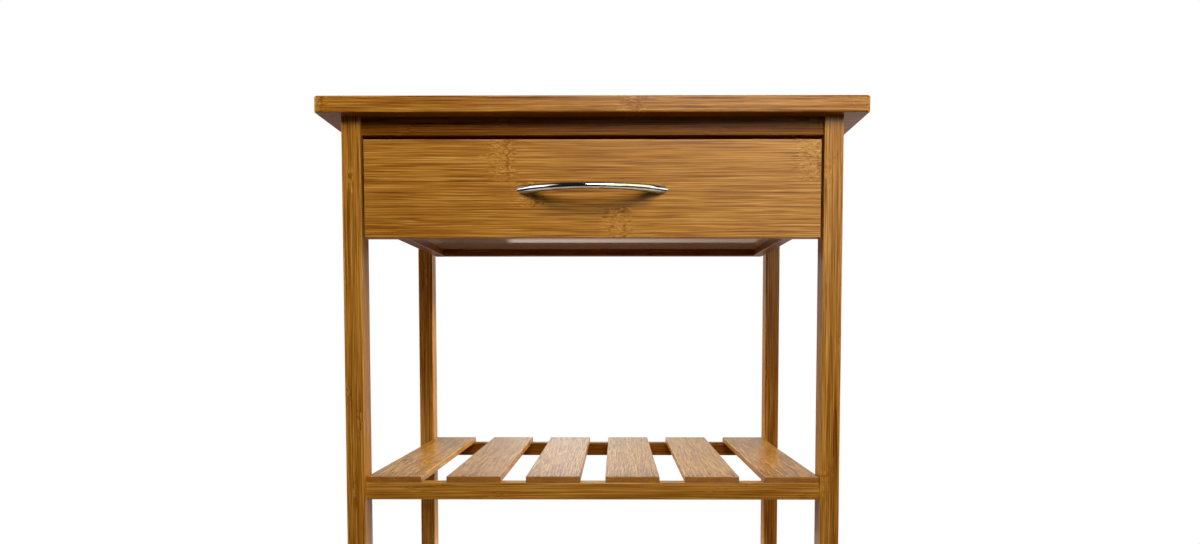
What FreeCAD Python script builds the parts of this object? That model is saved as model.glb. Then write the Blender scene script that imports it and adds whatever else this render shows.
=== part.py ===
import FreeCAD, Part
import math
import os

# Bamboo kitchen cart: a worktop on a four-legged frame, a drawer under the worktop, two slatted shelves
# and four swivel casters, the front pair with brake pedals.
# Sizes are in millimetres. +X points to the right, +Y to the back and +Z up. The origin is on the floor,
# under the middle of the whole outline. All casters trail to the back.

Vector = FreeCAD.Vector
RIGHT = Vector(1, 0, 0)
BACK = Vector(0, 1, 0)
UP = Vector(0, 0, 1)
SIDES = {"left": -1, "right": 1}

# Worktop
cart_height = 760.0
top_width = 512.0
top_depth = 380.0
top_thickness = 15.5
top_side_overhang = 21.0
top_front_overhang = 14.0
top_back_overhang = 15.0
top_corner_radius = 4.0
top_edge_radius = 1.5

# Legs
leg_width = 18.0
leg_depth = 25.0
leg_edge_radius = 1.2

# Rails and aprons
rail_inset = 5.0
rail_thickness = 13.5
rail_edge_radius = 0.8
front_rail_height = 17.0
apron_thickness = 12.0
apron_height = 82.0

# Shelves
upper_shelf_level = 405.0
lower_shelf_level = 128.0
shelf_rail_height = 16.5
slat_count = 6
slat_width = 52.0
slat_thickness = 6.0
slat_edge_radius = 0.9
slat_leg_gap = 0.4

# Drawer
drawer_front_height = 92.0
drawer_front_thickness = 12.0
drawer_front_inset = 2.0
drawer_front_edge_radius = 1.0
drawer_top_gap = 4.0
drawer_end_gap = 2.0
drawer_box_gap = 7.0
drawer_board = 12.0
drawer_board_edge_radius = 0.8
drawer_side_lift = 10.5
drawer_side_height = 78.0
drawer_side_housing = 5.0
drawer_back_drop = 8.0
drawer_back_room = 14.5
drawer_bottom_thickness = 4.0
drawer_bottom_lift = 8.5
drawer_groove_depth = 5.0
panel_clearance = 0.2

# Drawer runners
runner_height = 9.4
runner_bite = 5.6
runner_clearance = 0.3
runner_lift = 34.0
runner_edge_radius = 0.8
runner_stop_gap = 0.5
runner_screw_shares = (0.08, 0.5, 0.92)

# Drawer handle
handle_spacing = 128.0
handle_reach = 24.3
handle_drop = 0.8
handle_foot_radius = 4.75
handle_middle_height = 6.0
handle_middle_depth = 6.4
handle_half_sections = 6
handle_screw_inset = 4.0
handle_screw_radius = 2.0
handle_screw_bite = 6.0
handle_screw_head_radius = 4.0
handle_screw_head_height = 2.4
handle_screw_slot_width = 1.0
handle_screw_slot_depth = 1.1

# Bolts, barrel nuts and dowels
bolt_radius = 3.0
bolt_reach = 31.0
bolt_head_radius = 6.5
bolt_head_height = 2.4
bolt_head_edge_radius = 1.2
bolt_head_sink = 2.6
bolt_socket_radius = 2.3
bolt_socket_depth = 1.8
nut_radius = 5.0
nut_length = 10.0
nut_setback = 25.0
apron_bolt_shares = (0.18, 0.82)
dowel_radius = 4.0
dowel_length = 30.0
dowel_in_leg = 12.0
dowel_shares = (0.38, 0.62)
fastener_clearance = 0.12

# Wood screws and worktop brackets
screw_radius = 1.75
screw_head_radius = 3.4
screw_point_length = 3.0
screw_point_radius = 0.5
screw_slot_width = 0.9
screw_slot_depth = 1.0
slat_screw_bite = 4.0
slat_screw_shift = 15.0
runner_screw_bite = 8.0
drawer_screw_bite = 20.0
drawer_screw_shares = (0.25, 0.75)
bracket_reach = 18.0
bracket_width = 16.0
bracket_thickness = 2.0
bracket_shares = (0.2, 0.8)
bracket_screw_length = 10.0

# Casters
wheel_radius = 20.0
tyre_thickness = 5.0
tyre_width = 17.0
tyre_edge_radius = 3.5
hub_width = 19.0
hub_boss_radius = 7.0
hub_rim_thickness = 2.5
hub_web_recess = 4.0
axle_radius = 3.0
axle_head_radius = 5.0
axle_head_height = 1.6
axle_head_edge_radius = 0.7
running_clearance = 0.05
caster_trail = 14.0
cheek_thickness = 2.0
cheek_clearance = 0.5
cheek_end_radius = 7.5
crown_clearance = 7.0
crown_thickness = 2.5
crown_front_reach = 12.5
crown_back_reach = 17.5
crown_bend_radius = 1.8
race_radius = 11.0
race_height = 6.0
race_edge_radius = 1.5
neck_radius = 7.0
neck_height = 4.0
swivel_gap = 0.3
stem_radius = 4.0
stem_length = 30.0
stem_top_gap = 2.0
socket_radius = 5.5
socket_flange_radius = 8.5
socket_flange_thickness = 2.0

# Brake pedals
brake_pivot_back = 11.0
brake_pivot_drop = 3.4
brake_pivot_radius = 1.6
brake_boss_radius = 2.3
brake_arm_thickness = 3.0
brake_arm_clearance = 0.6
brake_pad_start = 3.5
brake_pad_end = 10.5
brake_pad_gap = 0.4
brake_travel_degrees = 8.0
pedal_start = 10.0
pedal_end = 34.0
pedal_width = 24.0
pedal_corner_radius = 5.0
pedal_edge_radius = 0.8

# Cuts run past the faces that they open by this much
overrun = 2.0

# Places worked out from the sizes above
frame_width = top_width - 2 * top_side_overhang
frame_depth = top_depth - top_front_overhang - top_back_overhang
half_frame = frame_width / 2
inner_half = half_frame - leg_width
handle_front = frame_depth / 2 - drawer_front_inset + handle_reach + handle_middle_depth / 2
caster_back = frame_depth / 2 - leg_depth / 2 + caster_trail + wheel_radius
top_back = frame_depth / 2 + top_back_overhang
frame_front = (handle_front - max(caster_back, top_back)) / 2 - frame_depth / 2
frame_back = frame_front + frame_depth
leg_centre_x = half_frame - leg_width / 2
leg_centre_front = frame_front + leg_depth / 2
leg_centre_back = frame_back - leg_depth / 2

crown_underside = 2 * wheel_radius + crown_clearance
race_floor = crown_underside + crown_thickness
socket_underside = race_floor + race_height + neck_height + swivel_gap
leg_foot = socket_underside + socket_flange_thickness
leg_head = cart_height - top_thickness
socket_top = leg_foot + stem_length + stem_top_gap

rail_front_y = frame_front + rail_inset + rail_thickness / 2
rail_back_y = frame_back - rail_inset - rail_thickness / 2
front_rail_floor = leg_head - front_rail_height
apron_floor = leg_head - apron_height
apron_x = leg_centre_x
apron_inner_half = apron_x - apron_thickness / 2
rear_apron_y = leg_centre_back
rear_apron_face = rear_apron_y - apron_thickness / 2
side_apron_front = frame_front + leg_depth
side_apron_back = frame_back - leg_depth

drawer_face = frame_front + drawer_front_inset
drawer_front_back = drawer_face + drawer_front_thickness
drawer_ceiling = front_rail_floor - drawer_top_gap
drawer_floor = drawer_ceiling - drawer_front_height
drawer_front_half = inner_half - drawer_end_gap
drawer_box_half = inner_half - drawer_box_gap
drawer_inner_half = drawer_box_half - drawer_board
drawer_side_floor = drawer_floor + drawer_side_lift
drawer_side_ceiling = drawer_side_floor + drawer_side_height
drawer_back_end = rear_apron_face - drawer_back_room
drawer_back_face = drawer_back_end - drawer_board
drawer_bottom_floor = drawer_side_floor + drawer_bottom_lift
drawer_bottom_ceiling = drawer_bottom_floor + drawer_bottom_thickness

runner_floor = drawer_side_floor + runner_lift
runner_z = runner_floor + runner_height / 2
runner_inner_half = drawer_box_half - runner_bite
handle_z = (drawer_floor + drawer_ceiling) / 2 - handle_drop

tyre_bore_radius = wheel_radius - tyre_thickness
cheek_inner_half = hub_width / 2 + cheek_clearance
cheek_outer_half = cheek_inner_half + cheek_thickness
brake_pivot_z = crown_underside - brake_pivot_drop

CORNERS = {
    "front_left": (-leg_centre_x, leg_centre_front),
    "front_right": (leg_centre_x, leg_centre_front),
    "rear_left": (-leg_centre_x, leg_centre_back),
    "rear_right": (leg_centre_x, leg_centre_back),
}
SHELF_LEVELS = {"upper": upper_shelf_level, "lower": lower_shelf_level}
BRAKED = ("front_left", "front_right")


# Basic shapes

def block(xs, ys, zs):
    """A box between two values on each axis, given in any order."""
    low = Vector(min(xs), min(ys), min(zs))
    high = Vector(max(xs), max(ys), max(zs))
    size = high - low
    return Part.makeBox(size.x, size.y, size.z, low)


def edges_along(solid, axis):
    """The straight edges of a block that run along one axis."""
    edges = []
    for edge in solid.Edges:
        run = edge.Vertexes[-1].Point - edge.Vertexes[0].Point
        if run.Length > 0 and abs(run.normalize().dot(axis)) > math.cos(math.radians(1)):
            edges.append(edge)
    return edges


def edges_at_height(solid, z):
    """The edges that lie wholly at one height."""
    near = overrun / 1000
    return [e for e in solid.Edges if abs(e.BoundBox.ZMin - z) < near and abs(e.BoundBox.ZMax - z) < near]


def board(xs, ys, zs, grain, edge_radius):
    """A plank with its four long edges eased."""
    plank = block(xs, ys, zs)
    return plank.makeFillet(edge_radius, edges_along(plank, grain))


def rod(radius, start, direction, length):
    return Part.makeCylinder(radius, length, start, direction)


def placed(shape, point, direction):
    """A copy of a shape made along +Z from the origin, set at a point and turned to a direction."""
    copy = shape.copy()
    copy.Placement = FreeCAD.Placement(point, FreeCAD.Rotation(UP, direction))
    return copy


def fused(shapes):
    return shapes[0].fuse(shapes[1:]).removeSplitter()


def drilled(solid, holes):
    """The solid without the holes that reach it."""
    reached = [hole for hole in holes if solid.BoundBox.intersect(hole.BoundBox)]
    return solid.cut(reached) if reached else solid


# Fasteners, each made along +Z from its seat at the origin

def wood_screw(length):
    head_depth = screw_head_radius - screw_radius
    straight = length - head_depth - screw_point_length
    head = Part.makeCone(screw_head_radius, screw_radius, head_depth)
    shank = rod(screw_radius, UP * head_depth, UP, straight)
    point = Part.makeCone(screw_radius, screw_point_radius, screw_point_length, UP * (head_depth + straight))
    screw = fused([head, shank, point])
    half_slot = screw_slot_width / 2
    arm = screw_head_radius / 2
    depths = (-overrun, screw_slot_depth)
    cross = block((-arm, arm), (-half_slot, half_slot), depths)
    cross = cross.fuse(block((-half_slot, half_slot), (-arm, arm), depths))
    return screw.cut(cross)


def wood_screw_hole(length):
    shank_radius = screw_radius + fastener_clearance
    head_depth = screw_head_radius - screw_radius
    head = Part.makeCone(screw_head_radius + fastener_clearance, shank_radius, head_depth)
    shank = rod(shank_radius, Vector(), UP, length + fastener_clearance)
    return head.fuse(shank)


def connector_bolt():
    length = leg_width - bolt_head_sink + bolt_reach
    head = rod(bolt_head_radius, UP * -bolt_head_height, UP, bolt_head_height)
    head = head.makeFillet(bolt_head_edge_radius, edges_at_height(head, -bolt_head_height))
    bolt = fused([head, rod(bolt_radius, Vector(), UP, length)])
    corners = [Vector(math.cos(i * math.pi / 3), math.sin(i * math.pi / 3), 0) for i in range(7)]
    hexagon = Part.Face(Part.makePolygon([c * bolt_socket_radius for c in corners]))
    socket = hexagon.extrude(UP * (bolt_socket_depth + overrun))
    socket.translate(UP * -(bolt_head_height + overrun))
    return bolt.cut(socket)


def connector_bolt_hole():
    """With the wide mouth that lets the head lie below the leg's face."""
    length = leg_width - bolt_head_sink + bolt_reach + overrun
    shank = rod(bolt_radius + fastener_clearance, Vector(), UP, length)
    mouth_depth = bolt_head_sink + overrun
    return shank.fuse(rod(bolt_head_radius + fastener_clearance, UP * -mouth_depth, UP, mouth_depth))


def cross_joints():
    """Height, depth and nut direction of each bolt pair that holds a cross member between two legs."""
    joints = [(rail_front_y, leg_head - front_rail_height / 2, UP)]
    joints += [(rear_apron_y, apron_floor + share * apron_height, BACK) for share in apron_bolt_shares]
    for level in SHELF_LEVELS.values():
        z = level - slat_thickness - shelf_rail_height / 2
        joints += [(y, z, UP) for y in (rail_front_y, rail_back_y)]
    return joints


def bolt_places():
    places = []
    for y, z, nut_axis in cross_joints():
        for sign in SIDES.values():
            places.append((Vector(sign * (half_frame - bolt_head_sink), y, z), RIGHT * -sign))
    return places


def nut_places():
    places = []
    for y, z, nut_axis in cross_joints():
        for sign in SIDES.values():
            places.append((Vector(sign * (inner_half - nut_setback), y, z), nut_axis))
    return places


def barrel_nut():
    return rod(nut_radius, UP * (-nut_length / 2), UP, nut_length)


def barrel_nut_hole():
    """Open towards the side that the nut is put in from, the underside or the front."""
    deepest = max(shelf_rail_height, front_rail_height, apron_thickness) / 2
    start = -deepest - overrun
    return rod(nut_radius + fastener_clearance, UP * start, UP, nut_length / 2 - start)


def dowel_places():
    """Leg face, direction into the apron and height of each dowel of the side aprons."""
    places = []
    for sign in SIDES.values():
        for share in dowel_shares:
            z = apron_floor + share * apron_height
            places.append((Vector(sign * apron_x, side_apron_front, z), BACK))
            places.append((Vector(sign * apron_x, side_apron_back, z), BACK * -1))
    return places


def dowel():
    return rod(dowel_radius, UP * -dowel_in_leg, UP, dowel_length)


def dowel_hole():
    start = -dowel_in_leg - fastener_clearance
    return rod(dowel_radius + fastener_clearance, UP * start, UP, dowel_length + 2 * fastener_clearance)


def slat_centres():
    first = -inner_half + slat_leg_gap + slat_width / 2
    pitch = -2 * first / (slat_count - 1)
    return [first + pitch * i for i in range(slat_count)]


def slat_screw_places():
    """Screws from under the rails into the slats, set towards the middle to clear the bolts at the ends."""
    places = []
    for level in SHELF_LEVELS.values():
        z = level - slat_thickness - shelf_rail_height
        for x in slat_centres():
            screw_x = x - math.copysign(slat_screw_shift, x)
            places += [(Vector(screw_x, y, z), UP) for y in (rail_front_y, rail_back_y)]
    return places


def slat_screw_length():
    return shelf_rail_height + slat_screw_bite


def runner_screw_places():
    places = []
    for sign in SIDES.values():
        for share in runner_screw_shares:
            y = side_apron_front + share * (side_apron_back - side_apron_front)
            places.append((Vector(sign * runner_inner_half, y, runner_z), RIGHT * sign))
    return places


def runner_screw_length():
    return apron_inner_half - runner_inner_half + runner_screw_bite


def bracket_places():
    """Corner between the worktop's underside and a side apron, and the way in from the apron."""
    places = []
    for sign in SIDES.values():
        for share in bracket_shares:
            y = side_apron_front + share * (side_apron_back - side_apron_front)
            places.append((Vector(sign * apron_inner_half, y, leg_head), -sign))
    return places


def bracket_screw_places():
    middle = (bracket_reach + bracket_thickness) / 2
    places = []
    for corner, inward in bracket_places():
        places.append((corner + RIGHT * (inward * middle) - UP * bracket_thickness, UP))
        places.append((corner - UP * middle + RIGHT * (inward * bracket_thickness), RIGHT * -inward))
    return places


def drawer_screw_places():
    back_height = drawer_side_height - drawer_back_drop
    y = drawer_back_face + drawer_board / 2
    places = []
    for sign in SIDES.values():
        for share in drawer_screw_shares:
            z = drawer_side_floor + share * back_height
            places.append((Vector(sign * drawer_box_half, y, z), RIGHT * -sign))
    return places


def drawer_screw_length():
    return drawer_board + drawer_screw_bite


def sockets_at(shape):
    return [placed(shape, Vector(x, y, 0), UP) for x, y in CORNERS.values()]


def frame_holes():
    holes = [placed(connector_bolt_hole(), *place) for place in bolt_places()]
    holes += [placed(barrel_nut_hole(), *place) for place in nut_places()]
    holes += [placed(dowel_hole(), *place) for place in dowel_places()]
    holes += [placed(wood_screw_hole(slat_screw_length()), *place) for place in slat_screw_places()]
    holes += [placed(wood_screw_hole(runner_screw_length()), *place) for place in runner_screw_places()]
    holes += [placed(wood_screw_hole(bracket_screw_length), *place) for place in bracket_screw_places()]
    bore_length = socket_top - leg_foot + fastener_clearance
    bore = rod(socket_radius + fastener_clearance, UP * leg_foot, UP, bore_length)
    return holes + sockets_at(bore)


# Frame

def tabletop():
    front = frame_front - top_front_overhang
    half = top_width / 2
    slab = block((-half, half), (front, front + top_depth), (leg_head, cart_height))
    slab = slab.makeFillet(top_corner_radius, edges_along(slab, UP))
    rims = edges_at_height(slab, leg_head) + edges_at_height(slab, cart_height)
    return slab.makeFillet(top_edge_radius, rims)


def leg(x, y):
    xs = (x - leg_width / 2, x + leg_width / 2)
    ys = (y - leg_depth / 2, y + leg_depth / 2)
    return board(xs, ys, (leg_foot, leg_head), UP, leg_edge_radius)


def rail(y, thickness, floor, height):
    """A cross member between the legs."""
    ys = (y - thickness / 2, y + thickness / 2)
    return board((-inner_half, inner_half), ys, (floor, floor + height), RIGHT, rail_edge_radius)


def side_apron(sign):
    xs = (sign * apron_inner_half, sign * (apron_inner_half + apron_thickness))
    return board(xs, (side_apron_front, side_apron_back), (apron_floor, leg_head), BACK, rail_edge_radius)


def runner(sign):
    xs = (sign * runner_inner_half, sign * apron_inner_half)
    ys = (side_apron_front, side_apron_back)
    return board(xs, ys, (runner_floor, runner_floor + runner_height), BACK, runner_edge_radius)


def slat(x, level):
    xs = (x - slat_width / 2, x + slat_width / 2)
    ys = (frame_front + rail_inset, frame_back - rail_inset)
    strip = block(xs, ys, (level - slat_thickness, level))
    return strip.makeFillet(slat_edge_radius, edges_at_height(strip, level))


def bracket(corner, inward):
    half = bracket_width / 2
    ys = (corner.y - half, corner.y + half)
    inner = corner.x + inward * bracket_thickness
    upright = block((corner.x, inner), ys, (corner.z - bracket_reach, corner.z))
    flat = block((corner.x, corner.x + inward * bracket_reach), ys, (corner.z - bracket_thickness, corner.z))
    return fused([upright, flat])


def socket():
    """Sleeve and flange in the foot of a leg, on the swivel axis."""
    sleeve = rod(socket_radius, UP * leg_foot, UP, socket_top - leg_foot)
    flange = rod(socket_flange_radius, UP * socket_underside, UP, socket_flange_thickness)
    bore_length = socket_top - socket_underside - stem_top_gap / 2
    bore = rod(stem_radius + running_clearance, UP * (socket_underside - overrun), UP, bore_length + overrun)
    return fused([sleeve, flange]).cut(bore)


def frame_parts():
    holes = frame_holes()
    shelf_floor = slat_thickness + shelf_rail_height
    parts = {"tabletop": tabletop()}
    for name, (x, y) in CORNERS.items():
        parts["leg_" + name] = leg(x, y)
    parts["top_rail_front"] = rail(rail_front_y, rail_thickness, front_rail_floor, front_rail_height)
    parts["rear_apron"] = rail(rear_apron_y, apron_thickness, apron_floor, apron_height)
    for side, sign in SIDES.items():
        parts["side_apron_" + side] = side_apron(sign)
        parts["drawer_runner_" + side] = runner(sign)
    for shelf, level in SHELF_LEVELS.items():
        for end, y in {"front": rail_front_y, "rear": rail_back_y}.items():
            name = shelf + "_shelf_" + end + "_rail"
            parts[name] = rail(y, rail_thickness, level - shelf_floor, shelf_rail_height)
        for number, x in enumerate(slat_centres(), 1):
            parts[shelf + "_shelf_slat_" + str(number)] = slat(x, level)
    parts["tabletop_brackets"] = Part.makeCompound([bracket(*place) for place in bracket_places()])
    for name in parts:
        parts[name] = drilled(parts[name], holes)
    return parts


def frame_fasteners():
    bolt_holes = [placed(connector_bolt_hole(), *place) for place in bolt_places()]
    wood_screws = [placed(wood_screw(slat_screw_length()), *place) for place in slat_screw_places()]
    wood_screws += [placed(wood_screw(runner_screw_length()), *place) for place in runner_screw_places()]
    bracket_screws = [placed(wood_screw(bracket_screw_length), *place) for place in bracket_screw_places()]
    groups = {
        "frame_bolts": [placed(connector_bolt(), *place) for place in bolt_places()],
        "barrel_nuts": [drilled(placed(barrel_nut(), *place), bolt_holes) for place in nut_places()],
        "apron_dowels": [placed(dowel(), *place) for place in dowel_places()],
        "wood_screws": wood_screws,
        "bracket_screws": bracket_screws,
        "caster_sockets": sockets_at(socket()),
    }
    return {name: Part.makeCompound(solids) for name, solids in groups.items()}


# Drawer

def drawer_bottom_space(clearance):
    """The room that the bottom panel takes in the grooves round it."""
    half = drawer_inner_half + drawer_groove_depth - panel_clearance + clearance
    ys = (
        drawer_front_back - drawer_groove_depth + panel_clearance - clearance,
        drawer_back_face + drawer_groove_depth - panel_clearance + clearance,
    )
    return block((-half, half), ys, (drawer_bottom_floor, drawer_bottom_ceiling + clearance))


def drawer_front():
    half = drawer_front_half
    ys = (drawer_face, drawer_front_back)
    face = block((-half, half), ys, (drawer_floor, drawer_ceiling))
    rim = [e for e in face.Edges if e.BoundBox.YMax < drawer_face + drawer_front_thickness / 2]
    face = face.makeFillet(drawer_front_edge_radius, rim)
    return face.cut([drawer_bottom_space(panel_clearance)] + [drawer_side_blank(s) for s in SIDES.values()])


def drawer_side_blank(sign):
    xs = (sign * drawer_inner_half, sign * drawer_box_half)
    ys = (drawer_front_back - drawer_side_housing, drawer_back_end)
    zs = (drawer_side_floor, drawer_side_ceiling)
    return board(xs, ys, zs, BACK, drawer_board_edge_radius)


def runner_groove(sign):
    """Stopped short of the drawer front, and open at the back end."""
    xs = (sign * (runner_inner_half - runner_clearance), sign * (drawer_box_half + overrun))
    ys = (side_apron_front - runner_stop_gap, drawer_back_end + overrun)
    zs = (runner_floor - runner_clearance, runner_floor + runner_height + runner_clearance)
    return block(xs, ys, zs)


def drawer_side(sign):
    return drawer_side_blank(sign).cut([runner_groove(sign), drawer_bottom_space(panel_clearance)])


def drawer_back():
    ys = (drawer_back_face, drawer_back_end)
    zs = (drawer_side_floor, drawer_side_ceiling - drawer_back_drop)
    back = board((-drawer_inner_half, drawer_inner_half), ys, zs, RIGHT, drawer_board_edge_radius)
    return back.cut(drawer_bottom_space(panel_clearance))


def handle_section(share, bow_radius, end_angle):
    """An oval across the handle's bow, round at the ends and slimmer in the middle."""
    angle = share * end_angle
    slimness = 1 - share ** 2
    across = handle_foot_radius + slimness * (handle_middle_depth / 2 - handle_foot_radius)
    tall = handle_foot_radius + slimness * (handle_middle_height / 2 - handle_foot_radius)
    stretch = FreeCAD.Matrix()
    stretch.scale(across, tall, 1)
    oval = Part.Wire(Part.makeCircle(1).transformGeometry(stretch))
    out = handle_reach - bow_radius * (1 - math.cos(angle))
    centre = Vector(bow_radius * math.sin(angle), drawer_face - out, handle_z)
    heading = Vector(math.cos(angle), math.sin(angle), 0)
    oval.Placement = FreeCAD.Placement(centre, FreeCAD.Rotation(UP.cross(heading), UP, heading, "ZXY"))
    return oval


def handle_screw_places():
    places = [sign * (handle_spacing / 2 - handle_screw_inset) for sign in SIDES.values()]
    return [(Vector(x, drawer_front_back, handle_z), BACK * -1) for x in places]


def handle_screw():
    length = drawer_front_thickness + handle_screw_bite
    head = rod(handle_screw_head_radius, UP * -handle_screw_head_height, UP, handle_screw_head_height)
    screw = fused([head, rod(handle_screw_radius, Vector(), UP, length)])
    half = handle_screw_slot_width / 2
    depths = (-handle_screw_head_height - overrun, handle_screw_slot_depth - handle_screw_head_height)
    reach = (-handle_screw_head_radius - overrun, handle_screw_head_radius + overrun)
    return screw.cut(block(reach, (-half, half), depths))


def handle_screw_hole():
    length = drawer_front_thickness + handle_screw_bite + fastener_clearance
    return rod(handle_screw_radius + fastener_clearance, Vector(), UP, length)


def drawer_handle():
    """A bar along one bow, cut flat where it meets the drawer."""
    half = handle_spacing / 2
    bow_radius = (half ** 2 + handle_reach ** 2) / (2 * handle_reach)
    end_angle = math.acos(1 - (handle_reach + handle_foot_radius) / bow_radius)
    steps = range(-handle_half_sections, handle_half_sections + 1)
    sections = [handle_section(step / handle_half_sections, bow_radius, end_angle) for step in steps]
    bar = Part.makeLoft(sections, True, False)
    behind = (drawer_face, drawer_face + handle_reach)
    zs = (handle_z - handle_reach, handle_z + handle_reach)
    return bar.cut(block((-handle_spacing, handle_spacing), behind, zs))


def drawer_parts():
    holes = [placed(handle_screw_hole(), *place) for place in handle_screw_places()]
    holes += [placed(wood_screw_hole(drawer_screw_length()), *place) for place in drawer_screw_places()]
    parts = {
        "drawer_front": drawer_front(),
        "drawer_back": drawer_back(),
        "drawer_bottom": drawer_bottom_space(0),
        "drawer_handle": drawer_handle(),
    }
    for side, sign in SIDES.items():
        parts["drawer_side_" + side] = drawer_side(sign)
    for name in parts:
        parts[name] = drilled(parts[name], holes)
    screws = [placed(wood_screw(drawer_screw_length()), *place) for place in drawer_screw_places()]
    parts["drawer_screws"] = Part.makeCompound(screws)
    screws = [placed(handle_screw(), *place) for place in handle_screw_places()]
    parts["handle_screws"] = Part.makeCompound(screws)
    return parts


# Casters, each made round its swivel axis and then set under a leg

def axle_line(radius, half):
    """A rod on the wheel's axis, reaching as far to each side."""
    return rod(radius, Vector(-half, caster_trail, wheel_radius), RIGHT, 2 * half)


def tyre():
    tread = axle_line(wheel_radius, tyre_width / 2)
    tread = tread.makeFillet(tyre_edge_radius, [e for e in tread.Edges if len(e.Vertexes) == 1])
    return tread.cut(axle_line(tyre_bore_radius, tyre_width))


def hub():
    rim = axle_line(tyre_bore_radius - running_clearance, tyre_width / 2)
    well = axle_line(tyre_bore_radius - hub_rim_thickness, tyre_width)
    web = axle_line(tyre_bore_radius, tyre_width / 2 - hub_web_recess)
    boss = axle_line(hub_boss_radius, hub_width / 2)
    wheel = fused([rim.cut(well.cut(web)), boss])
    return wheel.cut(axle_line(axle_radius + running_clearance, hub_width))


def axle():
    pieces = [axle_line(axle_radius, cheek_outer_half)]
    for sign in SIDES.values():
        seat = Vector(sign * cheek_outer_half, caster_trail, wheel_radius)
        head = rod(axle_head_radius, seat, RIGHT * sign, axle_head_height)
        outer = cheek_outer_half + axle_head_height / 2
        rim = [e for e in head.Edges if min(abs(e.BoundBox.XMin), abs(e.BoundBox.XMax)) > outer]
        pieces.append(head.makeFillet(axle_head_edge_radius, rim))
    return fused(pieces)


def tangent_point(outside, centre, radius, way):
    """Where a line from a point touches a circle about the X axis, on the side that the way's sign picks."""
    away = outside - centre
    angle = math.atan2(away.z, away.y) + way * math.acos(radius / away.Length)
    return centre + Vector(0, math.cos(angle), math.sin(angle)) * radius


def cheek(x):
    """One side plate of the fork, wide under the crown and round at the axle."""
    front = Vector(x, -crown_front_reach, crown_underside)
    back = Vector(x, crown_back_reach, crown_underside)
    end = Vector(x, caster_trail, wheel_radius)
    front_touch = tangent_point(front, end, cheek_end_radius, 1)
    back_touch = tangent_point(back, end, cheek_end_radius, -1)
    outline = [
        Part.LineSegment(front, back).toShape(),
        Part.LineSegment(back, back_touch).toShape(),
        Part.Arc(back_touch, end - UP * cheek_end_radius, front_touch).toShape(),
        Part.LineSegment(front_touch, front).toShape(),
    ]
    return Part.Face(Part.Wire(outline)).extrude(RIGHT * cheek_thickness)


def crown():
    xs = (-cheek_outer_half, cheek_outer_half)
    plate = block(xs, (-crown_front_reach, crown_back_reach), (crown_underside, race_floor))
    bends = [e for e in edges_along(plate, BACK) if e.BoundBox.ZMin > crown_underside + crown_thickness / 2]
    return plate.makeFillet(crown_bend_radius, bends)


def fork(braked):
    race = rod(race_radius, UP * race_floor, UP, race_height)
    race = race.makeFillet(race_edge_radius, edges_at_height(race, race_floor + race_height))
    neck = rod(neck_radius, UP * race_floor, UP, race_height + neck_height)
    stem = rod(stem_radius, UP * race_floor, UP, leg_foot + stem_length - race_floor)
    body = fused([crown(), cheek(cheek_inner_half), cheek(-cheek_outer_half), race, neck, stem])
    bores = [axle_line(axle_radius + running_clearance, cheek_outer_half + overrun)]
    if braked:
        bores.append(brake_pivot_line(brake_pivot_radius + running_clearance, cheek_outer_half + overrun))
    return body.cut(bores)


def brake_pivot_line(radius, half):
    return rod(radius, Vector(-half, brake_pivot_back, brake_pivot_z), RIGHT, 2 * half)


def brake_pedal():
    """Made pressed, so that its pad is shaped to the tyre, and then tipped up to its rest."""
    arm_half = cheek_inner_half - brake_arm_clearance
    pivot = Vector(0, brake_pivot_back, brake_pivot_z)
    zs = (pivot.z - brake_arm_thickness / 2, pivot.z + brake_arm_thickness / 2)
    arm = block((-arm_half, arm_half), (pivot.y, pivot.y + pedal_start + overrun), zs)
    pad_ys = (pivot.y + brake_pad_start, pivot.y + brake_pad_end)
    pad = block((-arm_half, arm_half), pad_ys, (2 * wheel_radius - overrun, pivot.z))
    pad = pad.cut(axle_line(wheel_radius + brake_pad_gap, cheek_outer_half))
    xs = (-pedal_width / 2, pedal_width / 2)
    plate = block(xs, (pivot.y + pedal_start, pivot.y + pedal_end), zs)
    plate = plate.makeFillet(pedal_corner_radius, edges_along(plate, UP))
    plate = plate.makeFillet(pedal_edge_radius, edges_at_height(plate, zs[0]) + edges_at_height(plate, zs[1]))
    boss = brake_pivot_line(brake_boss_radius, arm_half)
    stubs = brake_pivot_line(brake_pivot_radius, cheek_outer_half)
    pedal = fused([arm, pad, plate, boss, stubs])
    pedal.rotate(pivot, RIGHT, brake_travel_degrees)
    return pedal


def caster_parts():
    parts = {}
    for corner, (x, y) in CORNERS.items():
        braked = corner in BRAKED
        pieces = {"fork": fork(braked), "axle": axle(), "wheel": hub(), "tyre": tyre()}
        if braked:
            pieces["brake"] = brake_pedal()
        for piece, shape in pieces.items():
            parts["caster_" + piece + "_" + corner] = placed(fused([shape]), Vector(x, y, 0), UP)
    return parts


def main():
    os.makedirs("parts", exist_ok=True)
    for group in (frame_parts(), frame_fasteners(), drawer_parts(), caster_parts()):
        for name, shape in group.items():
            shape.exportStep("parts/" + name + ".step")


main()
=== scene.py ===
import math
import random
from collections import namedtuple

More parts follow.
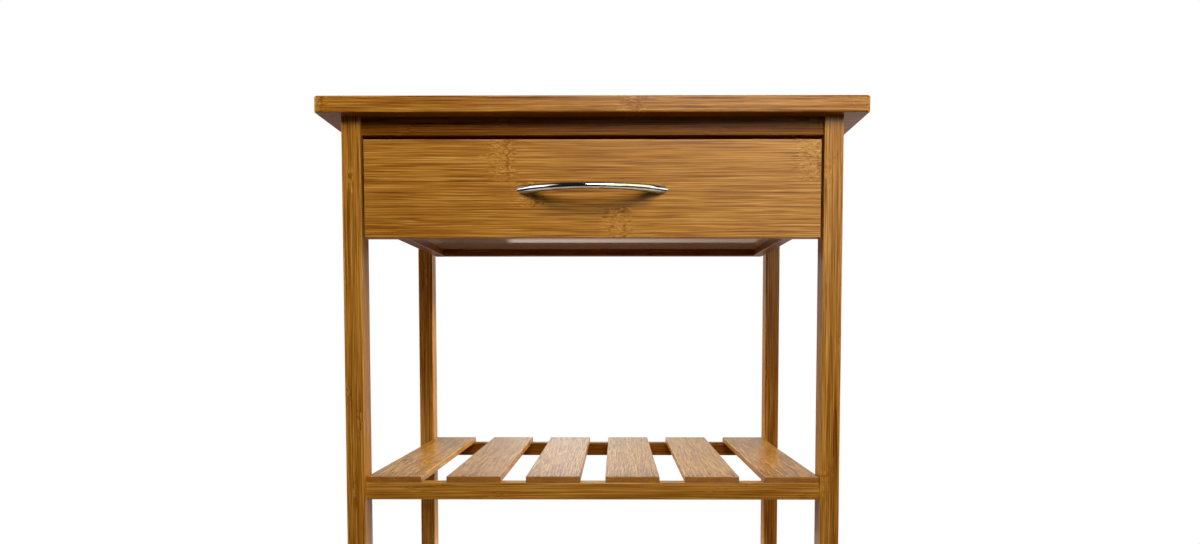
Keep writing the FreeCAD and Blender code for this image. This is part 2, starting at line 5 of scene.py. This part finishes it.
import bpy
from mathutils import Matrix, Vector


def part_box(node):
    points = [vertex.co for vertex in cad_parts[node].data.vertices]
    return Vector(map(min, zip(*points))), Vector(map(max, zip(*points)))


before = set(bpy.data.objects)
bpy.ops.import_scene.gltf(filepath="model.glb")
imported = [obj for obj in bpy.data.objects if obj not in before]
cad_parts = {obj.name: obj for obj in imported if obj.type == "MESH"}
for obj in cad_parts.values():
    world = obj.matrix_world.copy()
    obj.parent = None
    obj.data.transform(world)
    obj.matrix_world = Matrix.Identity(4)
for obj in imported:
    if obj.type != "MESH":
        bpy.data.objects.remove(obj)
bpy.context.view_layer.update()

# Looks of the bamboo kitchen cart, in metres, watts and degrees, with colours in sRGB from 0 to 255.
# The front faces -Y and the floor is at 0.

# Camera, placed from the front legs and the top of the worktop
picture_width = 1200
picture_height = 544
picture_axis_x = 611.3
picture_axis_y = 385.2
camera_right = 0.0222
camera_before_legs = 0.8543
camera_below_top = 0.2220
camera_level = 90
camera_pitch = -3.03
camera_turn = 0.29
camera_lens_mm = 27.085
camera_sensor_mm = 36.0

# Lights, each with its place, what it points at, its width, its power and its colour
drawer_middle = (0.0, -0.17, 0.66)
shelf_middle = (0.0, 0.0, 0.42)
LAMPS = {
    "key": ((0.18, -1.36, 1.49), drawer_middle, 0.7, 21.0, (255, 250, 243)),
}

# Soft lamps that gloss doesn't show
WASHES = {
    "side_left": ((-4.0, -0.12, 1.3), shelf_middle, 0.5, 95.0, (255, 249, 240)),
    "side_right": ((4.0, -0.12, 1.3), shelf_middle, 0.5, 150.0, (255, 249, 240)),
    "back_left": ((-1.3, 1.9, 1.9), shelf_middle, 0.8, 38.0, (242, 255, 246)),
    "back_right": ((1.3, 1.9, 1.9), shelf_middle, 0.8, 38.0, (242, 255, 246)),
}

# Panels that only gloss shows
GLEAMS = {
    "warm_gleam": ((0.67, -2.1, 1.07), drawer_middle, 0.9, 8.5, (255, 229, 182)),
    "right_gleam": ((1.0, -1.28, 1.65), drawer_middle, 2.0, 36.0, (255, 246, 206)),
    "left_gleam": ((-1.6, -0.7, 1.5), drawer_middle, 1.4, 20.0, (255, 252, 248)),
    "end_gleam": ((1.3, -0.45, 0.9), drawer_middle, 0.5, 2.4, (255, 250, 242)),
}

# Room, dim in front of the cart and bright behind it
room_front_level = 0.02
room_back_level = 0.5
room_back_limits = (-0.2, 0.35)
horizon_limits = (-0.05, 0.05)

# Background in the gloss, from the left to the right, above and below the horizon
gloss_half_spread = 0.3
gloss_least_ahead = 0.05
gloss_tint_shares = (1.0, 0.98, 0.92)
gloss_above = {
    0.0: 0.28,
    0.16: 0.31,
    0.28: 0.45,
    0.38: 0.94,
    0.45: 0.94,
    0.53: 0.55,
    0.65: 0.41,
    0.77: 0.36,
    1.0: 0.32,
}
gloss_below = {
    0.0: (150, 138, 132),
    0.10: (110, 98, 90),
    0.15: (70, 58, 52),
    0.297: (70, 58, 52),
    0.313: (221, 205, 196),
    0.45: (218, 202, 193),
    0.70: (168, 152, 142),
    0.82: (164, 148, 138),
    0.90: (204, 190, 176),
    1.0: (208, 194, 180),
}

# Floor, which keeps the shadow near the cart and fades into the white background
floor_half = 1.3
floor_fade_start = 0.55
floor_fade_end = 1.0
floor_dark_start = 0.5
floor_dark_end = 0.75
floor_colour = (232, 231, 229)
floor_bounce_colour = (60, 59, 58)
floor_rough = 0.8

# Bamboo colours from the darkest fibre to the lightest
bamboo_colours = {0.0: (98, 46, 2), 0.35: (150, 91, 13), 0.6: (184, 126, 42), 1.0: (224, 172, 90)}

# Noise in the bamboo: repeats per metre along the grain, across the strips and through the board, then the
# count of finer layers and the strength of each beside the one before it
Noise = namedtuple("Noise", "repeats layers strength", defaults=[2, 0.5])
streak_noise = Noise((10, 1080, 1080), 3, 0.6)
fibre_noise = Noise((12, 1400, 1400), 1)
glint_noise = Noise((15, 1500, 1500), 1)
speck_noise = Noise((40, 640, 640), 3, 0.7)
band_noise = Noise((6, 130, 130))
wave_noise = Noise((13, 60, 60))
curl_noise = Noise((90, 150, 150))
knot_noise = Noise((190, 520, 520), 3, 0.65)
jag_noise = Noise((0, 210, 210))
noise_middle = 0.5

# How far noise bends the fibres, curls them at a knuckle and makes the knuckle ragged
wave_size = 0.0016
curl_size = 0.008
jag_size = 0.016

# Noise between whose limits the dark fibres and the light ones come in
fibre_limits = (0.52, 0.32)
glint_limits = (0.50, 0.70)

# Shares of the colour scale by which each mark makes the bamboo lighter or darker
plain_share = 0.49
fibre_lift_share = 0.08
streak_share = 1.35
band_share = 0.25
tone_share = 0.16
fibre_share = 0.40
glint_share = 0.20
feather_share = 0.05
line_share = 0.2
seam_share = 0.3
end_plain_share = 0.34
end_band_share = 0.5
end_streak_share = 0.3
# Edges are lightened partly as wear and partly as a painted highlight
edge_wear_and_highlight_share = 0.06
# Painted shade laid on the underside of every board
painted_underside_shade_share = 0.15

# Parts of a normal between whose limits a face counts as an underside (darkened as painted shade), an upper
# face, end grain or an edge (lightened as wear and painted highlight)
underside_limits = (-0.6, -0.9)
upper_face_limits = (0.6, 0.9)
end_face_limits = (0.6, 0.95)
edge_limits = (0.98, 0.8)

# Strips: their seam, how far their edges stray from even steps, and the shifts along the grain that give
# strips, the two layers of a board and whole boards patterns of their own
seam_width = 0.0005
strip_stray_share = 0.25
strip_shift = 7
layer_shift = 3
board_shift = 50

# Knuckles of the cane, which cross every strip at a like distance
knuckle_spacing = 0.291
knuckle_feather = 0.030
knuckle_tail = 0.010
knuckle_line = 0.0022
knot_share = 0.85
half_turn = 0.5

# Lacquer, a little smoother on light fibres, and the relief of the fibres
lacquer_rough = 0.32
light_fibre_polish = 0.12
relief_depth = 0.00004
relief_strength = 0.6
speck_relief_share = 4
fibre_dent_share = 0.5

# Strip starts of the drawer front, from its lower edge, each with its tone and the place of its knuckle
drawer_front_strips = [(0.0, 0.5, 0.030), (0.312, 0.5, -0.054), (0.570, 0.45, -0.079)]

# Kinds of board: grain direction, direction across the strips, strip width, how many times as short the
# fibres are, lightness with painted light and shade on some boards, gloss, the strength of the dark fibres,
# of the knuckles and of the short specks, and how much rougher the upper face is than the others
board_fields = "grain across strip shortness lightness gloss fibre knuckle speck rougher_top"
Board = namedtuple("Board", board_fields, defaults=[0.0])
shelf_rail = Board("X", "Z", 0.006, 0.8, 0.04, 0.22, 1.0, 0.4, 0.2)
# The rear shelf rails are made darker as painted shade, for the shadow of the drawer
rear_shelf_rail = shelf_rail._replace(lightness=-0.2)
slat = Board("Y", "X", 0.026, 1.6, 0.05, 0.55, 1.3, 0.3, 1.2, -0.12)
leg = Board("Z", "X", 0.006, 1.0, -0.04, 0.19, 1.1, 0.4, 0.3)
BOARDS = {
    "tabletop": Board("X", "Y", 0.026, 1.0, 0.0, 0.18, 0.85, 0.8, 0.5, 0.35),
    # The top rail is made darker as painted shade, for the shadow under the worktop and in the gap
    "top_rail": Board("X", "Z", 0.0085, 0.8, -0.25, 0.07, 0.7, 0.4, 0.2),
    "rear_apron": Board("X", "Z", 0.020, 1.0, -0.02, 0.28, 1.0, 1.0, 0.2),
    "side_apron": Board("Y", "Z", 0.020, 1.0, -0.02, 0.28, 1.0, 1.0, 0.2),
    # Painted light and shade: the left rear leg is lightened and the right one darkened so that both look
    # alike
    "leg_rear_left": leg._replace(lightness=0.10),
    "leg_rear_right": leg._replace(lightness=-0.09),
    "leg": leg,
    "drawer_runner": Board("Y", "Z", 0.010, 1.0, 0.0, 0.22, 1.0, 0.5, 0.2),
    "upper_shelf_front_rail": shelf_rail,
    "upper_shelf_rear_rail": rear_shelf_rail,
    "lower_shelf_front_rail": shelf_rail,
    "lower_shelf_rear_rail": rear_shelf_rail,
    "upper_shelf_slat": slat,
    "lower_shelf_slat": slat,
    "drawer_front": Board("X", "Z", 0.030, 1.0, 0.0, 0.23, 1.05, 1.0, 0.1),
    # The drawer sides and back are made darker as painted shade, for the shadow under the drawer
    "drawer_side": Board("Y", "Z", 0.020, 1.0, -0.2, 0.28, 1.0, 1.0, 0.2),
    "drawer_back": Board("X", "Z", 0.020, 1.0, -0.4, 0.28, 1.0, 1.0, 0.2),
}

# Finishes of the fittings: name, dark and light colour, repeats per metre of the pattern, least and most
# roughness, metallic share and depth of the relief
Finish = namedtuple("Finish", "name dark light repeats rough metallic relief", defaults=[0.0, 0.0])
FINISHES = {
    "chrome": Finish("chrome_plate", (156, 156, 158), (176, 176, 178), 300, (0.05, 0.11), 1.0),
    "zinc": Finish("zinc_plate", (166, 168, 172), (192, 194, 198), 260, (0.22, 0.34), 1.0, 0.00002),
    "panel": Finish("drawer_panel", (196, 182, 172), (212, 199, 189), 220, (0.03, 0.07), 0.0, 0.00001),
    "socket": Finish("black_plastic", (22, 22, 23), (34, 34, 36), 900, (0.4, 0.55), 0.0, 0.00004),
    "pedal": Finish("pedal_plastic", (34, 35, 37), (50, 51, 54), 900, (0.38, 0.52), 0.0, 0.00006),
    "hub": Finish("hub_plastic", (132, 134, 137), (152, 154, 157), 700, (0.35, 0.5), 0.0, 0.00004),
    "tyre": Finish("tyre_rubber", (40, 40, 42), (64, 64, 66), 500, (0.6, 0.8), 0.0, 0.0001),
    "dowel": Finish("beech", (196, 160, 116), (218, 186, 146), 350, (0.5, 0.65), 0.0, 0.00005),
}
finish_layers = 4
finish_layer_strength = 0.6
finish_limits = (0.3, 0.7)
finish_relief_strength = 0.5


# Node helpers

def linear(colour):
    """An sRGB colour from 0 to 255 as Blender's linear colour."""
    shares = [value / 255 for value in colour]
    return [s / 12.92 if s < 0.04045 else ((s + 0.055) / 1.055) ** 2.4 for s in shares] + [1.0]


def grey(level):
    return (level, level, level, 1.0)


def feed(tree, socket, value):
    if isinstance(value, bpy.types.NodeSocket):
        tree.links.new(value, socket)
    else:
        socket.default_value = value


def add(tree, kind, inputs=None, **settings):
    node = tree.nodes.new("ShaderNode" + kind)
    for name, value in settings.items():
        setattr(node, name, value)
    for key, value in (inputs or {}).items():
        feed(tree, node.inputs[key], value)
    return node


def maths(tree, operation, *values):
    return add(tree, "Math", dict(enumerate(values)), operation=operation).outputs[0]


def between(tree, value, start, end, interpolation="LINEAR"):
    """0 at the start and 1 at the end."""
    inputs = {"Value": value, "From Min": start, "From Max": end}
    return add(tree, "MapRange", inputs, interpolation_type=interpolation).outputs[0]


def smooth(tree, value, start, end):
    """0 at the start and 1 at the end, with soft ends."""
    return between(tree, value, start, end, "SMOOTHSTEP")


def noise(tree, vector, kind):
    stretched = add(tree, "VectorMath", {0: vector, 1: kind.repeats}, operation="MULTIPLY").outputs[0]
    inputs = {"Vector": stretched, "Scale": 1, "Detail": kind.layers, "Roughness": kind.strength}
    return add(tree, "TexNoise", inputs).outputs[0]


def swing(tree, value, size):
    """A noise value turned into a shift of up to half the size each way."""
    return maths(tree, "MULTIPLY", maths(tree, "SUBTRACT", value, noise_middle), size)


def mix(tree, share, first, second):
    """A value between two others."""
    return add(tree, "Mix", {0: share, 2: first, 3: second}).outputs[0]


def blend(tree, share, first, second):
    """A colour between two others."""
    return add(tree, "Mix", {0: share, 6: first, 7: second}, data_type="RGBA").outputs[2]


def ramp(tree, value, stops, interpolation="LINEAR"):
    node = add(tree, "ValToRGB", {"Fac": value})
    elements = node.color_ramp.elements
    node.color_ramp.interpolation = interpolation
    elements.remove(elements[-1])
    for place, colour in stops.items():
        element = elements[0] if place == 0 else elements.new(place)
        element.color = colour
    return node.outputs[0]


def new_material(name):
    material = bpy.data.materials.new(name)
    material.use_nodes = True
    tree = material.node_tree
    return material, tree, tree.nodes["Principled BSDF"]


# Bamboo

def board_strips(low, high, width, dice):
    """Where each strip of a board starts, with its tone and the place of its knuckle."""
    count = max(1, round((high - low) / width))
    starts = [(i + dice.uniform(-strip_stray_share, strip_stray_share)) / count for i in range(1, count)]
    return [(start, dice.random(), dice.random() * knuckle_spacing) for start in [0.0] + starts]


def strip_stops(strips, extent, dice):
    """Ramp stops with each strip's tone, knuckle place and seed, and in alpha the seam at its start."""
    stops = {}
    for start, tone, place in strips:
        values = (tone, (place / knuckle_spacing) % 1, dice.random())
        stops[start] = values + (float(start > 0),)
        stops[start + seam_width / extent] = values + (0.0,)
    return stops


def strip_values(tree, across, name, kind, dice):
    """The tone, knuckle place, seed and seam of the strip that each point of a board lies in."""
    board = BOARDS[kind]
    low, high = [corner["XYZ".index(board.across)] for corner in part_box(name)]
    strips = board_strips(low, high, board.strip, dice)
    if kind == "drawer_front":
        strips = drawer_front_strips
    share = between(tree, across, low, high)
    stops = ramp(tree, share, strip_stops(strips, high - low, dice), "CONSTANT")
    tone, knuckle_place, seed = add(tree, "SeparateColor", {0: stops}).outputs
    return tone, knuckle_place, seed, stops.node.outputs["Alpha"]


def knuckle_marks(tree, along, place, knuckle_place, strength):
    """The feathered fibres at each knuckle, and the dark line across it."""
    turns = maths(tree, "SUBTRACT", maths(tree, "DIVIDE", along, knuckle_spacing), knuckle_place)
    cycle = maths(tree, "SUBTRACT", maths(tree, "FRACT", maths(tree, "ADD", turns, half_turn)), half_turn)
    jag = swing(tree, noise(tree, place, jag_noise), jag_size)
    reach = maths(tree, "ADD", maths(tree, "MULTIPLY", cycle, knuckle_spacing), jag)
    before = smooth(tree, reach, -knuckle_feather, 0)
    after = smooth(tree, reach, knuckle_tail, 0)
    feather = maths(tree, "MULTIPLY", maths(tree, "MULTIPLY", before, after), strength)
    line = smooth(tree, maths(tree, "ABSOLUTE", reach), knuckle_line, 0)
    return feather, line


def bent_place(tree, place, feather):
    """The place in a board, shifted so that fibres wave along it and curl at its knuckles."""
    wave = swing(tree, noise(tree, place, wave_noise), wave_size)
    curl = maths(tree, "MULTIPLY", swing(tree, noise(tree, place, curl_noise), curl_size), feather)
    shift = maths(tree, "ADD", wave, curl)
    bend = add(tree, "CombineXYZ", {"X": 0, "Y": shift, "Z": shift}).outputs[0]
    return add(tree, "VectorMath", {0: place, 1: bend}, operation="ADD").outputs[0]


def face_level(tree, board, normal, level, end_level):
    """The colour level with painted shade on undersides, plain end grain and edges lightened as wear and
    painted highlight.
    """
    upward = add(tree, "SeparateXYZ", {0: normal}).outputs["Z"]
    # Painted shade: faces turned downwards are darkened
    level = maths(tree, "MULTIPLY_ADD", smooth(tree, upward, *underside_limits), -painted_underside_shade_share, level)
    size = add(tree, "VectorMath", {0: normal}, operation="ABSOLUTE").outputs[0]
    facing = add(tree, "SeparateXYZ", {0: size}).outputs
    level = mix(tree, smooth(tree, facing[board.grain], *end_face_limits), level, end_level)
    flat = maths(tree, "MAXIMUM", facing["X"], maths(tree, "MAXIMUM", facing["Y"], facing["Z"]))
    # Edges lightened as wear and painted highlight
    return maths(tree, "MULTIPLY_ADD", smooth(tree, flat, *edge_limits), edge_wear_and_highlight_share, level)


def lacquer(tree, shader, board, normal, level):
    """Roughness and gloss of a board, with its upper face rougher where the board says so."""
    upward = add(tree, "SeparateXYZ", {0: normal}).outputs["Z"]
    rough = maths(tree, "MULTIPLY_ADD", level, -light_fibre_polish, lacquer_rough)
    rough = maths(tree, "MULTIPLY_ADD", smooth(tree, upward, *upper_face_limits), board.rougher_top, rough)
    feed(tree, shader.inputs["Roughness"], rough)
    shader.inputs["Specular IOR Level"].default_value = board.gloss


def bamboo(name, kind):
    """Strips of cane with streaky fibres, knuckles, edges lightened as wear and painted highlight, painted
    shade on undersides and plain end grain.
    """
    board = BOARDS[kind]
    dice = random.Random(name)
    material, tree, shader = new_material("bamboo_" + name)
    coordinates = add(tree, "TexCoord").outputs
    parts = add(tree, "SeparateXYZ", {0: coordinates["Object"]}).outputs
    along, across = parts[board.grain], parts[board.across]
    deep_axis = next(axis for axis in "XYZ" if axis not in (board.grain, board.across))
    deep = parts[deep_axis]

    tone, knuckle_place, seed, seam = strip_values(tree, across, name, kind, dice)
    middle = sum(corner["XYZ".index(deep_axis)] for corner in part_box(name)) / 2
    layer = maths(tree, "GREATER_THAN", deep, middle)
    shift = maths(tree, "MULTIPLY_ADD", layer, layer_shift, dice.random() * board_shift)
    shift = maths(tree, "MULTIPLY_ADD", seed, strip_shift, shift)
    length = maths(tree, "MULTIPLY_ADD", along, board.shortness, shift)
    place = add(tree, "CombineXYZ", {"X": length, "Y": across, "Z": deep}).outputs[0]
    feather, line = knuckle_marks(tree, along, place, knuckle_place, board.knuckle)

    fibre_place = bent_place(tree, place, feather)
    streak = noise(tree, fibre_place, streak_noise)
    knot = noise(tree, fibre_place, knot_noise)
    streak = mix(tree, maths(tree, "MULTIPLY", feather, knot_share), streak, knot)
    band = noise(tree, place, band_noise)
    fibre = smooth(tree, noise(tree, fibre_place, fibre_noise), *fibre_limits)
    glint = smooth(tree, noise(tree, fibre_place, glint_noise), *glint_limits)
    speck = noise(tree, fibre_place, speck_noise)

    level = maths(tree, "ADD", swing(tree, streak, streak_share), swing(tree, band, band_share))
    level = maths(tree, "ADD", level, swing(tree, speck, board.speck))
    level = maths(tree, "ADD", level, swing(tree, tone, tone_share))
    level = maths(tree, "MULTIPLY_ADD", fibre, -fibre_share * board.fibre, level)
    level = maths(tree, "MULTIPLY_ADD", glint, glint_share, level)
    level = maths(tree, "MULTIPLY_ADD", feather, feather_share, level)
    level = maths(tree, "MULTIPLY_ADD", line, -line_share * board.knuckle, level)
    level = maths(tree, "MULTIPLY_ADD", seam, -seam_share, level)
    # Each board's lightness, which on some boards is painted light and shade, shifts the level
    level = maths(tree, "ADD", level, plain_share + fibre_lift_share * board.fibre + board.lightness)
    end_level = maths(tree, "ADD", swing(tree, band, end_band_share), swing(tree, streak, end_streak_share))
    end_level = maths(tree, "ADD", end_level, end_plain_share + board.lightness)
    level = face_level(tree, board, coordinates["Normal"], level, end_level)

    colours = {stop: linear(colour) for stop, colour in bamboo_colours.items()}
    feed(tree, shader.inputs["Base Color"], ramp(tree, level, colours))
    lacquer(tree, shader, board, coordinates["Normal"], level)
    height = maths(tree, "MULTIPLY_ADD", fibre, -fibre_dent_share, maths(tree, "ADD", streak, speck))
    depth = relief_depth * (1 + speck_relief_share * board.speck)
    relief = add(tree, "Bump", {"Height": height, "Strength": relief_strength, "Distance": depth})
    feed(tree, shader.inputs["Normal"], relief.outputs[0])
    return material


# Fittings

def mottled(finish):
    """A finish with two close colours in a fine uneven pattern, and a roughness that follows it."""
    material, tree, shader = new_material(finish.name)
    place = add(tree, "TexCoord").outputs["Object"]
    repeats = (finish.repeats, finish.repeats, finish.repeats)
    pattern = noise(tree, place, Noise(repeats, finish_layers, finish_layer_strength))
    spread = smooth(tree, pattern, *finish_limits)
    colours = {0: linear(finish.dark), 1.0: linear(finish.light)}
    feed(tree, shader.inputs["Base Color"], ramp(tree, spread, colours))
    low, high = finish.rough
    feed(tree, shader.inputs["Roughness"], maths(tree, "MULTIPLY_ADD", spread, high - low, low))
    shader.inputs["Metallic"].default_value = finish.metallic
    if finish.relief:
        inputs = {"Height": pattern, "Strength": finish_relief_strength, "Distance": finish.relief}
        feed(tree, shader.inputs["Normal"], add(tree, "Bump", inputs).outputs[0])
    return material


def dress(node, material):
    node.data.materials.clear()
    node.data.materials.append(material)


def dress_boards():
    for name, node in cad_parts.items():
        kind = next((k for k in BOARDS if name.startswith(k)), None)
        if kind:
            dress(node, bamboo(name, kind))


def dress_fittings():
    materials = {slot: mottled(finish) for slot, finish in FINISHES.items()}
    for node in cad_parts.values():
        slot = node.data.materials[0].name
        if slot in materials:
            dress(node, materials[slot])


# Surroundings

def mirrored_ray(tree):
    """1 for a ray that comes by way of a mirror or through glass."""
    path = add(tree, "LightPath").outputs
    return maths(tree, "MAXIMUM", path["Is Glossy Ray"], path["Is Transmission Ray"])


def camera_ray(tree):
    return add(tree, "LightPath").outputs["Is Camera Ray"]


def floor_material():
    """A pale floor that keeps the shadow near the cart, fades to white and throws back little light."""
    material, tree, shader = new_material("floor")
    seen = camera_ray(tree)
    mirrored = mirrored_ray(tree)
    place = add(tree, "TexCoord").outputs["Object"]
    depth = add(tree, "SeparateXYZ", {0: place}).outputs["Y"]
    near = smooth(tree, depth, -floor_dark_end, -floor_dark_start)
    pale = maths(tree, "MAXIMUM", seen, maths(tree, "MULTIPLY", mirrored, near))
    tint = blend(tree, pale, linear(floor_bounce_colour), linear(floor_colour))
    feed(tree, shader.inputs["Base Color"], tint)
    shader.inputs["Roughness"].default_value = floor_rough
    distance = add(tree, "VectorMath", {0: place}, operation="LENGTH").outputs["Value"]
    fade = smooth(tree, distance, floor_fade_start, floor_fade_end)
    behind = smooth(tree, depth, 0, floor_fade_end)
    white = add(tree, "Emission", {"Color": grey(1), "Strength": 1})
    shown = maths(tree, "MAXIMUM", seen, maths(tree, "MULTIPLY", mirrored, behind))
    factor = maths(tree, "MULTIPLY", fade, shown)
    mixed = add(tree, "MixShader", {0: factor, 1: shader.outputs[0], 2: white.outputs[0]})
    feed(tree, tree.nodes["Material Output"].inputs["Surface"], mixed.outputs[0])
    return material


def make_floor():
    corners = [(x * floor_half, y * floor_half, 0) for x, y in ((-1, -1), (1, -1), (1, 1), (-1, 1))]
    mesh = bpy.data.meshes.new("floor")
    mesh.from_pydata(corners, [], [(0, 1, 2, 3)])
    mesh.materials.append(floor_material())
    floor = bpy.data.objects.new("floor", mesh)
    bpy.context.scene.collection.objects.link(floor)


def make_world():
    """White behind the cart, and a room that is darker in front of it than behind."""
    world = bpy.data.worlds.new("room")
    world.use_nodes = True
    tree = world.node_tree
    heading = add(tree, "SeparateXYZ", {0: add(tree, "TexCoord").outputs["Generated"]}).outputs
    behind = smooth(tree, heading["Y"], *room_back_limits)
    upward = smooth(tree, heading["Z"], *horizon_limits)
    aside = maths(tree, "DIVIDE", heading["X"], maths(tree, "MAXIMUM", heading["Y"], gloss_least_ahead))
    share = between(tree, aside, -gloss_half_spread, gloss_half_spread)
    tinted = {place: [level * tint for tint in gloss_tint_shares] for place, level in gloss_above.items()}
    above = ramp(tree, share, {place: colour + [1.0] for place, colour in tinted.items()})
    below = ramp(tree, share, {place: linear(colour) for place, colour in gloss_below.items()})
    back = blend(tree, mirrored_ray(tree), grey(room_back_level), blend(tree, upward, below, above))
    room = blend(tree, behind, grey(room_front_level), back)
    background = tree.nodes["Background"]
    feed(tree, background.inputs["Color"], blend(tree, camera_ray(tree), room, grey(1)))
    background.inputs["Strength"].default_value = 1
    bpy.context.scene.world = world


def area_light(name, place, target, width, power, colour):
    data = bpy.data.lights.new(name, "AREA")
    data.shape = "SQUARE"
    data.size = width
    data.energy = power
    data.color = linear(colour)[:3]
    light = bpy.data.objects.new(name, data)
    light.location = place
    light.rotation_euler = (Vector(target) - Vector(place)).to_track_quat("-Z", "Y").to_euler()
    bpy.context.scene.collection.objects.link(light)
    return light


def make_lights():
    for name, values in LAMPS.items():
        area_light(name, *values)
    for name, values in WASHES.items():
        area_light(name, *values).visible_glossy = False
    for name, values in GLEAMS.items():
        area_light(name, *values).visible_diffuse = False


def make_camera():
    data = bpy.data.cameras.new("camera")
    data.sensor_width = camera_sensor_mm
    data.lens = camera_lens_mm
    data.shift_x = (picture_width / 2 - picture_axis_x) / picture_width
    data.shift_y = (picture_axis_y - picture_height / 2) / picture_width
    camera = bpy.data.objects.new("camera", data)
    leg_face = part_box("leg_front_left")[0].y
    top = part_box("tabletop")[1].z
    camera.location = (camera_right, leg_face - camera_before_legs, top - camera_below_top)
    camera.rotation_euler = (math.radians(camera_level + camera_pitch), 0, math.radians(camera_turn))
    bpy.context.scene.collection.objects.link(camera)
    bpy.context.scene.camera = camera


dress_boards()
dress_fittings()
make_floor()
make_world()
make_lights()
make_camera()
bpy.context.scene.view_settings.view_transform = "Standard"
